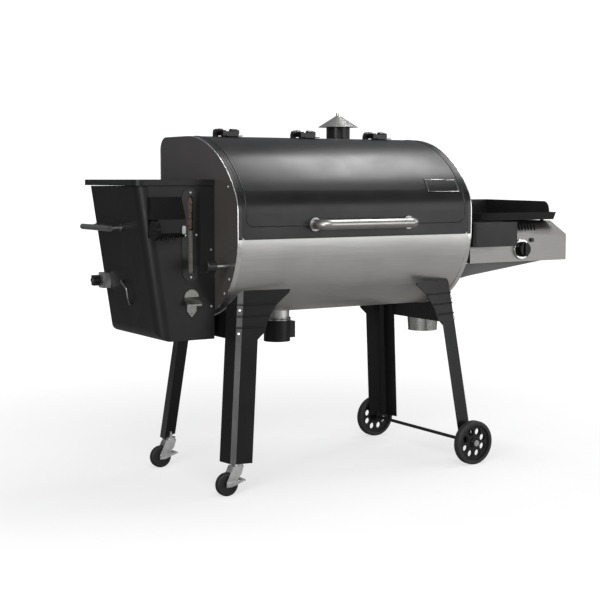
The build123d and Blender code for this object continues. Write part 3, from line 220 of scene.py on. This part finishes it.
# ------------------------------------------------------------------ materials
TYRE_DEPTH = 14 * MM
ASH_KNOB_LENGTH = 34 * MM
AXLE_HEAD_LENGTH = 6.5 * MM
RIM_EDGE_WIDTH = 3.0 * MM
CLEANOUT_SHAFT_RADIUS = 5.1 * MM
LID_FOOT_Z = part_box("lid_shell")[0].z

ENAMEL = painted("black_enamel", (0.004, 0.004, 0.0045), 0.35, coat=0.18, peel=0.05, dust=1.4)
CAP_PAINT = painted("cap_paint", (0.062, 0.056, 0.055), 0.34, coat=0.12, peel=0.10, dust=1.25)
SATIN_BLACK = painted("satin_black", (0.0095, 0.0095, 0.010), 0.38, peel=0.14, dust=1.5)
LEG_PAINT = painted("leg_paint", (0.0055, 0.0055, 0.006), 0.30, coat=0.12, peel=0.12, dust=1.5)
BRACKET_GREY = painted("bracket_grey", (0.12, 0.12, 0.12), 0.42, peel=0.12, dust=1.2)
BARREL_STEEL = brushed("barrel_steel", (0.74, 0.735, 0.72), 0.42, "X", 1.06, aniso=0.2)
SHEET_STEEL = brushed("sheet_steel", (0.30, 0.295, 0.285), 0.40, "X", 1.18, aniso=0.2)
CONE_STEEL = brushed("cone_steel", (0.74, 0.73, 0.715), 0.26, "Z", 1.22)
BUCKET_STEEL = brushed("bucket_steel", (0.60, 0.60, 0.59), 0.26, "Z", 1.12)
RAW_STEEL = brushed("raw_steel", (0.24, 0.23, 0.22), 0.45, "Y", 1.3)
CHROME = polished("bright_steel", (0.62, 0.62, 0.61), 0.16)
HANDLE_STEEL = brushed("handle_steel", (0.44, 0.435, 0.425), 0.36, "X", 1.10, aniso=0.2)
BUTTON_STEEL = polished("button_steel", (0.42, 0.42, 0.415), 0.34)
# Bottle opener: the cone's brushed steel made darker, painted shade over the steel's own tone because
# the opener faces the front lamp.
SHADED_OPENER_STEEL = brushed("opener_steel_painted_shade", (0.30, 0.30, 0.295), 0.34, "Z", 1.25)
ZINC = polished("zinc", (0.78, 0.78, 0.775), 0.36)
GREY_TUBE = polished("grey_tube", (0.36, 0.36, 0.36), 0.34)
WIRE_IRON = cast("wire_iron", (0.022, 0.021, 0.020), 0.42)
POT_IRON = cast("pot_iron", (0.035, 0.032, 0.030), 0.62)
GRIDDLE_IRON = cast("griddle_iron", (0.012, 0.012, 0.012), 0.46, 700.0, 0.35)
CONTROL_PLASTIC = moulded("control_plastic", (0.006, 0.006, 0.0065), 0.26, 1500.0, 0.05, 0.18)
BLACK_PLASTIC = moulded("black_plastic", (0.014, 0.014, 0.015), 0.44)
CASTER_TREAD = moulded("caster_tread", (0.012, 0.012, 0.013), 0.48)
LINER = painted("window_liner", (0.20, 0.185, 0.155), 0.55, dust=1.1)


def make_pane_material():
    """Clear window: faint tint and smears."""
    finish = Finish("clear_pane", Alpha=0.13, IOR=1.49, Base_Color=(0.05, 0.05, 0.05, 1.0))
    finish.roughness(finish.remap(finish.noise(30.0, 4.0), 0.03, 0.10))
    return finish.material


def make_pellet_material():
    """Pressed sawdust: warm patches with darker fibres."""
    finish = Finish("pressed_wood", Roughness=0.8)
    fibre = finish.noise(520.0, 5.0)
    patch = finish.noise(60.0, 2.0)
    warm = finish.blend(finish.remap(patch, 0.0, 1.0), (0.15, 0.075, 0.032), (0.30, 0.165, 0.08))
    finish.colour(finish.blend(finish.remap(fibre, 0.0, 0.7), warm, (0.10, 0.05, 0.02)))
    finish.bump(fibre, 0.5, 0.0006)
    return finish.material


def make_wheel_material(node):
    """Black moulded disc inside a dark grey rubber tyre, split by radius."""
    low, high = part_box(node)
    middle = (low + high) / 2
    finish = Finish("tyre_" + node, Specular_IOR_Level=0.4)
    radius = radius_from(finish, (middle.x, middle.z), "XZ")
    rim = (high.z - low.z) / 2 - TYRE_DEPTH
    tyre = finish.remap(radius, 0.0, 1.0, rim - 0.6 * MM, rim + 0.6 * MM)
    scuff = finish.noise(70.0, 5.0, roughness=0.65)
    rubber = finish.blend(finish.remap(scuff, 0.0, 1.0), (0.018, 0.018, 0.018), (0.040, 0.040, 0.039))
    finish.colour(finish.blend(tyre, (0.012, 0.012, 0.013), rubber))
    finish.roughness(finish.remap(tyre, 0.34, 0.52, 0.0, 1.0))
    finish.bump(scuff, 0.15, 0.0004)
    return finish.material


def make_ash_pull_material():
    """Black knob at the outer end, bright rod inside the barrel."""
    low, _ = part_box("ash_pull")
    finish = Finish("ash_pull_finish")
    knob_end = low.x + ASH_KNOB_LENGTH
    rod = finish.remap(finish.axis("X"), 0.0, 1.0, knob_end - 0.4 * MM, knob_end + 0.4 * MM)
    cloud = finish.noise(40.0, 3.0)
    steel = finish.blend(finish.remap(cloud, 0.0, 1.0), (0.50, 0.50, 0.49), (0.62, 0.62, 0.61))
    finish.colour(finish.blend(rod, (0.013, 0.013, 0.014), steel))
    finish.metallic(rod)
    finish.roughness(finish.remap(cloud, 0.28, 0.40))
    finish.bump(finish.noise(900.0, 2.0), 0.08, 0.0003)
    return finish.material


def make_knob_material(node, shaft_radius, plane):
    """Black knob on a bright shaft, split by radius about the shaft."""
    low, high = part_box(node)
    middle = (low + high) / 2
    centre = [getattr(middle, name.lower()) for name in plane]
    finish = Finish("knob_" + node, Specular_IOR_Level=0.5)
    radius = radius_from(finish, centre, plane)
    plastic = finish.remap(radius, 0.0, 1.0, shaft_radius, shaft_radius + 0.3 * MM)
    cloud = finish.noise(30.0, 3.0)
    finish.colour(finish.blend(plastic, (0.55, 0.55, 0.54), (0.012, 0.012, 0.013)))
    finish.metallic(finish.math("SUBTRACT", 1.0, plastic))
    finish.roughness(finish.remap(cloud, 0.26, 0.40))
    finish.bump(finish.noise(1200.0, 2.0), 0.06, 0.0002)
    return finish.material


def make_axle_material():
    """Black axle bar with bright end heads."""
    low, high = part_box("axle")
    finish = Finish("axle_finish")
    middle = (low.y + high.y) / 2
    reach = finish.math("ABSOLUTE", finish.math("SUBTRACT", finish.axis("Y"), middle))
    head_start = (high.y - low.y) / 2 - AXLE_HEAD_LENGTH
    head = finish.remap(reach, 0.0, 1.0, head_start, head_start + 0.4 * MM)
    cloud = finish.noise(60.0, 3.0)
    zinc = finish.blend(finish.remap(cloud, 0.0, 1.0), (0.50, 0.50, 0.50), (0.62, 0.62, 0.62))
    finish.colour(finish.blend(head, (0.008, 0.008, 0.008), zinc))
    finish.metallic(head)
    finish.roughness(finish.remap(cloud, 0.28, 0.42))
    return finish.material


def make_rim_material():
    """End rims: bright outer edge, black band over the lid, steel band under it."""
    finish = Finish("rim_finish")
    reach = finish.math("ABSOLUTE", finish.math("SUBTRACT", finish.axis("X"), CENTRE_X))
    edge_start = (RIM_HIGH.x - RIM_LOW.x) / 2 - RIM_EDGE_WIDTH
    edge = finish.remap(reach, 0.0, 1.0, edge_start, edge_start + 0.5 * MM)
    low_half = finish.remap(finish.axis("Z"), 1.0, 0.0, LID_FOOT_Z - 0.5 * MM, LID_FOOT_Z + 0.5 * MM)
    steel = finish.math("MAXIMUM", edge, low_half)
    cloud = finish.noise(30.0, 4.0)
    bright = finish.blend(finish.remap(cloud, 0.0, 1.0), (0.80, 0.795, 0.785), (0.92, 0.915, 0.905))
    finish.colour(finish.blend(steel, (0.008, 0.008, 0.0085), bright))
    finish.metallic(steel)
    finish.roughness(finish.remap(cloud, 0.24, 0.36))
    finish.bump(finish.noise(700.0, 2.0), 0.05, 0.0002)
    return finish.material


MATERIAL_OF = {
    "barrel_shell": BARREL_STEEL,
    "end_cap_left": CAP_PAINT,
    "end_cap_right": CAP_PAINT,
    "end_rims": make_rim_material(),
    "lid_shell": ENAMEL,
    "lid_handle": HANDLE_STEEL,
    "nameplate": ENAMEL,
    "hinge_brackets": LEG_PAINT,
    "hinge_leaves": LEG_PAINT,
    "hinge_pins": LEG_PAINT,
    "chimney_pipe": ENAMEL,
    "chimney_cap": CONE_STEEL,
    "cooking_grate": WIRE_IRON,
    "warming_rack": WIRE_IRON,
    "grate_ledges": RAW_STEEL,
    "drip_tray": RAW_STEEL,
    "heat_baffle": RAW_STEEL,
    "fire_pot": POT_IRON,
    "auger_tube": RAW_STEEL,
    "auger_screw": RAW_STEEL,
    "auger_motor": ZINC,
    "blower_housing": SATIN_BLACK,
    "fan_wheel": ZINC,
    "ash_pull": make_ash_pull_material(),
    "hopper_shell": SATIN_BLACK,
    "window_frame": LEG_PAINT,
    "window_pane": make_pane_material(),
    "hopper_lid": SATIN_BLACK,
    "controller_housing": CONTROL_PLASTIC,
    "controller_dial": CONTROL_PLASTIC,
    "power_button": BUTTON_STEEL,
    "bottle_opener": SHADED_OPENER_STEEL,
    "side_handle": GREY_TUBE,
    "cleanout_bracket": ZINC,
    "cleanout_knob": make_knob_material("cleanout_knob", CLEANOUT_SHAFT_RADIUS, "YZ"),
    "hopper_pull": GREY_TUBE,
    "left_legs": LEG_PAINT,
    "right_legs": LEG_PAINT,
    "leg_aprons": LEG_PAINT,
    "axle": make_axle_material(),
    "wheel_front": make_wheel_material("wheel_front"),
    "wheel_rear": make_wheel_material("wheel_rear"),
    "caster_fork_front": ZINC,
    "caster_fork_rear": ZINC,
    "caster_wheel_front": CASTER_TREAD,
    "caster_wheel_rear": CASTER_TREAD,
    "brake_pedal_front": ZINC,
    "brake_pedal_rear": ZINC,
    "burner_box": SHEET_STEEL,
    "burner_bracket": BRACKET_GREY,
    "gas_burner": RAW_STEEL,
    "knob_bezel": CHROME,
    "burner_knob": CONTROL_PLASTIC,
    "igniter_button": BLACK_PLASTIC,
    "griddle": GRIDDLE_IRON,
    "grease_box": SATIN_BLACK,
    "ash_cup": SATIN_BLACK,
    "grease_bucket": BUCKET_STEEL,
    "screws_and_bolts": ZINC,
    "wood_pellets": LINER,
}
for node_name, node_material in MATERIAL_OF.items():
    node_object = NODES[node_name]
    if not node_object.material_slots:
        node_object.data.materials.append(node_material)
    for material_slot in node_object.material_slots:
        material_slot.material = node_material


# ------------------------------------------------------------------ mesh helpers
def new_piece(name, vertices, faces, material, body, slot, smooth=True):
    """A mesh piece that rides on a body."""
    mesh = bpy.data.meshes.new(name)
    mesh.from_pydata([tuple(vertex) for vertex in vertices], [], faces)
    mesh.validate()
    if smooth:
        mesh.polygons.foreach_set("use_smooth", [True] * len(mesh.polygons))
    mesh.materials.append(material)
    piece = bpy.data.objects.new(name, mesh)
    bpy.context.scene.collection.objects.link(piece)
    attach(piece, body)
    return piece


def tube_mesh(points, radius, closed=False, sides=10):
    """Vertices and faces of a round bar along points."""
    points = [Vector(point) for point in points]
    count = len(points)
    rings = []
    previous = None
    for i, point in enumerate(points):
        before = points[i - 1] if closed or i else point
        after = points[(i + 1) % count] if closed or i + 1 < count else point
        tangent = (after - before).normalized()
        seed = previous if previous else Vector((0.31, 0.17, 0.93))
        side = (seed - tangent * seed.dot(tangent)).normalized()
        previous = side
        other = tangent.cross(side)
        for k in range(sides):
            angle = 2 * math.pi * k / sides
            rings.append(point + radius * (side * math.cos(angle) + other * math.sin(angle)))
    faces = []
    for i in range(count if closed else count - 1):
        for k in range(sides):
            a, b = i * sides, ((i + 1) % count) * sides
            faces.append((a + k, a + (k + 1) % sides, b + (k + 1) % sides, b + k))
    if not closed:
        faces.append(tuple(reversed(range(sides))))
        faces.append(tuple(range((count - 1) * sides, count * sides)))
    return rings, faces


def bar(name, points, radius, material, body, slot, closed=False, sides=10):
    """Round bar as a piece."""
    return new_piece(name, *tube_mesh(points, radius, closed, sides), material, body, slot)


def circle(centre, radius, count=64):
    """Points round a level circle."""
    points = []
    for k in range(count):
        angle = 2 * math.pi * k / count
        points.append(Vector(centre) + Vector((math.cos(angle) * radius, math.sin(angle) * radius, 0)))
    return points


# ------------------------------------------------------------------ lid detail
LID_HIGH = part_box("lid_shell")[1]
LID_INSET_X = 13 * MM
BEAD_Z = 862 * MM
BEAD_CORNER = 28 * MM
BEAD_RADIUS = 3.0 * MM
BEAD_PROUD = 1.4 * MM
BEAD_TOP_RUN = 470 * MM
BEAD_STEPS = 60
CORNER_STEPS = 12
NAMEPLATE_RUN = 62 * MM
NAMEPLATE_LENGTH = 56 * MM
NAMEPLATE_STEPS = 16
BORDER_LIFT = 1.4 * MM
BORDER_RADIUS = 1.3 * MM


def section_point(run, lift):
    """Point (y, z) on the barrel's front and top, a run up from the shoulder's foot, lifted outward."""
    shoulder = (-BARREL_RADIUS + SHOULDER_RADIUS, SHOULDER_Z)
    rise = TOP_Z - CROWN_RADIUS - SHOULDER_Z
    crown_y = shoulder[0] + math.sqrt((CROWN_RADIUS - SHOULDER_RADIUS) ** 2 - rise ** 2)
    crown = (crown_y, TOP_Z - CROWN_RADIUS)
    joint = math.atan2(shoulder[1] - crown[1], shoulder[0] - crown[0])
    shoulder_length = SHOULDER_RADIUS * (math.pi - joint)
    if run < 0:
        return CENTRE_Y - BARREL_RADIUS - lift, SHOULDER_Z + run
    if run < shoulder_length:
        angle = math.pi - run / SHOULDER_RADIUS
        centre, radius = shoulder, SHOULDER_RADIUS + lift
    else:
        angle = joint - (run - shoulder_length) / CROWN_RADIUS
        centre, radius = crown, CROWN_RADIUS + lift
    return CENTRE_Y + centre[0] + radius * math.cos(angle), centre[1] + radius * math.sin(angle)


def make_lid_bead():
    """Raised border pressed into the lid: up both ends, with round corners, and along the front."""
    half = LID_HIGH.x - CENTRE_X - LID_INSET_X
    low_run = BEAD_Z - SHOULDER_Z
    edge_length = BEAD_TOP_RUN - low_run - BEAD_CORNER
    plan = []
    for side in (-1, 1):
        edge = []
        for step in range(BEAD_STEPS + 1):
            edge.append((side * half, BEAD_TOP_RUN - step * edge_length / BEAD_STEPS))
        corner = []
        for step in range(1, CORNER_STEPS + 1):
            turn = math.radians(step * 90 / CORNER_STEPS)
            corner.append((side * (half - BEAD_CORNER * (1 - math.cos(turn))),
                           low_run + BEAD_CORNER * (1 - math.sin(turn))))
        plan.append(edge + corner)
    route = plan[0] + plan[1][::-1]
    points = [(CENTRE_X + x, *section_point(run, -BEAD_RADIUS + BEAD_PROUD)) for x, run in route]
    bar("lid_border_bead", points, BEAD_RADIUS, ENAMEL, "lid", "black_enamel", sides=8)


def make_nameplate_border():
    """Thin bright frame round the blank nameplate, bent with the lid."""
    low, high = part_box("nameplate")
    places = []
    for step in range(NAMEPLATE_STEPS + 1):
        y, z = section_point(NAMEPLATE_RUN + step * NAMEPLATE_LENGTH / NAMEPLATE_STEPS, BORDER_LIFT)
        if low.z + 1 * MM < z < high.z - 1 * MM:
            places.append((y, z))
    left, right = low.x + 2 * MM, high.x - 2 * MM
    points = [(left, y, z) for y, z in places] + [(right, y, z) for y, z in reversed(places)]
    bar("nameplate_border", points, BORDER_RADIUS, CHROME, "lid", "bright_steel", closed=True, sides=8)


make_lid_bead()
make_nameplate_border()


# ------------------------------------------------------------------ hopper window
PELLET_COUNT = 230
PELLET_RADIUS = 3.1 * MM
PELLET_SIDES = 8
PELLET_LENGTHS = (8, 17)       # shortest and longest, in mm
LINER_THICKNESS = 1.2 * MM
LINER_BOW = 3.0 * MM


def make_pellet_heap():
    """Loose pellets against the pane, in place of the plain block."""
    low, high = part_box("wood_pellets")
    dice = random.Random(7)
    vertices, faces = [], []
    for _ in range(PELLET_COUNT):
        length = dice.uniform(*PELLET_LENGTHS) * MM
        lie = (dice.uniform(-1, 1), dice.uniform(-0.25, 0.25), dice.uniform(-0.8, 0.8))
        half = Vector(lie).normalized() * length / 2
        reach_x = abs(half.x) + PELLET_RADIUS
        reach_z = abs(half.z) + PELLET_RADIUS
        centre = Vector((dice.uniform(low.x + reach_x, high.x - reach_x),
                         dice.uniform(low.y + PELLET_RADIUS + 0.6 * MM, high.y - PELLET_RADIUS),
                         dice.uniform(low.z + reach_z, high.z - reach_z)))
        ring, ring_faces = tube_mesh([centre - half, centre + half], PELLET_RADIUS, sides=PELLET_SIDES)
        start = len(vertices)
        vertices += ring
        faces += [tuple(start + i for i in face) for face in ring_faces]
    heap = new_piece("pellet_heap", vertices, faces, make_pellet_material(), "frame", "pellets")
    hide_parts("wood_pellets")


def make_window_liner():
    """Pale back sheet behind the lower part of the pane, below the pellets."""
    low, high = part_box("window_pane")
    pellet_low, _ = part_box("wood_pellets")
    x0, x1 = low.x + 3 * MM, high.x - 3 * MM
    z0, z1 = low.z + 3 * MM, pellet_low.z
    y0 = high.y + 1.0 * MM
    columns, rows = 8, 12
    vertices, faces = [], []
    for layer in (0.0, LINER_THICKNESS):
        for row in range(rows + 1):
            for column in range(columns + 1):
                share = column / columns
                vertices.append((x0 + (x1 - x0) * share,
                                 y0 + layer + LINER_BOW * math.sin(math.pi * share),
                                 z0 + (z1 - z0) * row / rows))
    width = columns + 1
    back = width * (rows + 1)
    for row in range(rows):
        for column in range(columns):
            a = row * width + column
            faces.append((a, a + 1, a + width + 1, a + width))
            faces.append((back + a, back + a + width, back + a + width + 1, back + a + 1))
    edge = list(range(width))
    edge += [row * width + columns for row in range(1, rows + 1)]
    edge += [rows * width + column for column in range(columns - 1, -1, -1)]
    edge += [row * width for row in range(rows - 1, 0, -1)]
    for i, a in enumerate(edge):
        b = edge[(i + 1) % len(edge)]
        faces.append((a, back + a, back + b, b))
    new_piece("window_liner", vertices, faces, LINER, "frame", "clear_pane")


make_pellet_heap()
make_window_liner()


# ------------------------------------------------------------------ cups
CUP_RING_RADIUS = 2.0 * MM
BUCKET_FOOT_RADIUS = 54 * MM
BUCKET_MOUTH_RADIUS = 61 * MM
BUCKET_MOUTH_Z = 548 * MM
BUCKET_SEAM_ANGLE = math.radians(-112)


def make_cup_rings():
    """Two bright rings round the mouth of the ash cup."""
    low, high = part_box("ash_cup")
    pot_low, pot_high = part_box("fire_pot")
    centre = ((pot_low.x + pot_high.x) / 2, (pot_low.y + pot_high.y) / 2)
    radius = (high.y - low.y) / 2
    for name, drop in (("ash_cup_ring", 2.5 * MM), ("ash_cup_ring_low", 8.0 * MM)):
        ring = circle((*centre, high.z - drop), radius + 0.5 * MM)
        bar(name, ring, CUP_RING_RADIUS, CHROME, "ash_cup", "bright_steel", closed=True)


def make_bucket_trim():
    """Folded seam up the front of the grease bucket and its foot ring."""
    low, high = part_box("grease_bucket")
    centre = (low + high) / 2
    across = (math.cos(BUCKET_SEAM_ANGLE), math.sin(BUCKET_SEAM_ANGLE))
    points = []
    for share in (0.03, 0.5, 0.97):
        radius = BUCKET_FOOT_RADIUS + (BUCKET_MOUTH_RADIUS - BUCKET_FOOT_RADIUS) * share
        points.append((centre.x + radius * across[0], centre.y + radius * across[1],
                       low.z + (BUCKET_MOUTH_Z - low.z) * share))
    bar("bucket_seam", points, 1.3 * MM, BUCKET_STEEL, "grease_bucket", "brushed_steel", sides=8)
    ring = circle((centre.x, centre.y, low.z + 1.6 * MM), BUCKET_FOOT_RADIUS + 0.2 * MM)
    bar("bucket_foot_ring", ring, 1.5 * MM, BUCKET_STEEL, "grease_bucket", "brushed_steel",
        closed=True, sides=8)


make_cup_rings()
make_bucket_trim()


# ------------------------------------------------------------------ camera, lights and floor
CAMERA_PLACE = (-2.5337, -3.8119, 1.0142)
CAMERA_LENS = 76.69
CAMERA_PITCH = 5.442
CAMERA_YAW = 31.955

camera_data = bpy.data.cameras.new("camera")
camera_data.lens = CAMERA_LENS
camera_data.sensor_width = 36.0
camera = bpy.data.objects.new("camera", camera_data)
camera.location = CAMERA_PLACE
camera.rotation_euler = (math.radians(90 - CAMERA_PITCH), 0, math.radians(-CAMERA_YAW))
bpy.context.scene.collection.objects.link(camera)
bpy.context.scene.camera = camera


def area_light(name, place, target, size, power):
    """Soft rectangular light aimed at a point."""
    data = bpy.data.lights.new(name, "AREA")
    data.shape = "RECTANGLE"
    data.size, data.size_y = size
    data.energy = power
    light = bpy.data.objects.new(name, data)
    light.location = place
    light.rotation_euler = (Vector(target) - Vector(place)).to_track_quat("-Z", "Y").to_euler()
    bpy.context.scene.collection.objects.link(light)


area_light("key", (-1.8, -3.2, 3.2), (0, 0, 0.95), (2.8, 1.8), 85)
area_light("top", (1.9, 0.1, 3.9), (0, -0.2, 1.0), (1.9, 1.0), 62)
area_light("side", (-3.9, -2.5, 1.2), (-0.4, 0, 0.6), (0.9, 2.8), 62)
area_light("front", (2.9, -4.2, 1.25), (0, -0.3, 0.8), (3.6, 2.2), 54)
area_light("right", (4.2, -0.6, 2.2), (0.6, 0, 0.8), (1.2, 1.6), 20)

WORLD_DIM = (0.20, 0.205, 0.21)
WORLD_SEEN = 1.15
FLOOR_REACH = 14.0
FLOOR_FADE = (0.9, 3.2)        # from the object's middle, where the floor starts and ends turning white
FLOOR_NEAR_SHARE = 0.55        # how white it is before that
FLOOR_WHITE = 1.15
FLOOR_DIM = (0.34, 0.335, 0.33)        # the floor's colour in reflections


def make_world():
    """Dim studio round the object, white where it is only a backdrop."""
    world = bpy.data.worlds.new("studio")
    world.use_nodes = True
    tree = world.node_tree
    dim = tree.nodes["Background"]
    dim.inputs["Color"].default_value = (*WORLD_DIM, 1.0)
    dim.inputs["Strength"].default_value = 1.0
    seen = tree.nodes.new("ShaderNodeBackground")
    seen.inputs["Color"].default_value = (1.0, 1.0, 1.0, 1.0)
    seen.inputs["Strength"].default_value = WORLD_SEEN
    path = tree.nodes.new("ShaderNodeLightPath")
    mix = tree.nodes.new("ShaderNodeMixShader")
    tree.links.new(path.outputs["Is Camera Ray"], mix.inputs[0])
    tree.links.new(dim.outputs[0], mix.inputs[1])
    tree.links.new(seen.outputs[0], mix.inputs[2])
    tree.links.new(mix.outputs[0], tree.nodes["World Output"].inputs["Surface"])
    bpy.context.scene.world = world


make_world()


def make_floor():
    """Plain pale studio floor, brighter far out so that it runs into the white backdrop."""
    finish = Finish("studio_floor", Roughness=0.9, Specular_IOR_Level=0.1)
    tree = finish.tree
    patch = finish.remap(finish.noise(1.5), 0.0, 1.0)
    finish.colour(finish.blend(patch, (0.86, 0.86, 0.86), (0.88, 0.88, 0.88)))
    white = tree.nodes.new("ShaderNodeEmission")
    white.inputs["Strength"].default_value = FLOOR_WHITE
    distance = radius_from(finish, (0.0, 0.0), "XY")
    far = finish.remap(distance, FLOOR_NEAR_SHARE, 1.0, *FLOOR_FADE)
    seen = tree.nodes.new("ShaderNodeMixShader")
    finish.link(far, seen.inputs[0])
    finish.link(finish.shader.outputs[0], seen.inputs[1])
    finish.link(white.outputs[0], seen.inputs[2])
    dim = tree.nodes.new("ShaderNodeBsdfDiffuse")
    dim.inputs["Color"].default_value = (*FLOOR_DIM, 1.0)
    path = tree.nodes.new("ShaderNodeLightPath")
    mix = tree.nodes.new("ShaderNodeMixShader")
    finish.link(path.outputs["Is Camera Ray"], mix.inputs[0])
    finish.link(dim.outputs[0], mix.inputs[1])
    finish.link(seen.outputs[0], mix.inputs[2])
    finish.link(mix.outputs[0], tree.nodes["Material Output"].inputs["Surface"])
    mesh = bpy.data.meshes.new("floor")
    corners = [(x * FLOOR_REACH, y * FLOOR_REACH, 0) for x, y in ((-1, -1), (1, -1), (1, 1), (-1, 1))]
    mesh.from_pydata(corners, [], [(0, 1, 2, 3)])
    mesh.materials.append(finish.material)
    floor = bpy.data.objects.new("floor", mesh)
    bpy.context.scene.collection.objects.link(floor)


make_floor()

bpy.context.scene.view_settings.view_transform = "Standard"
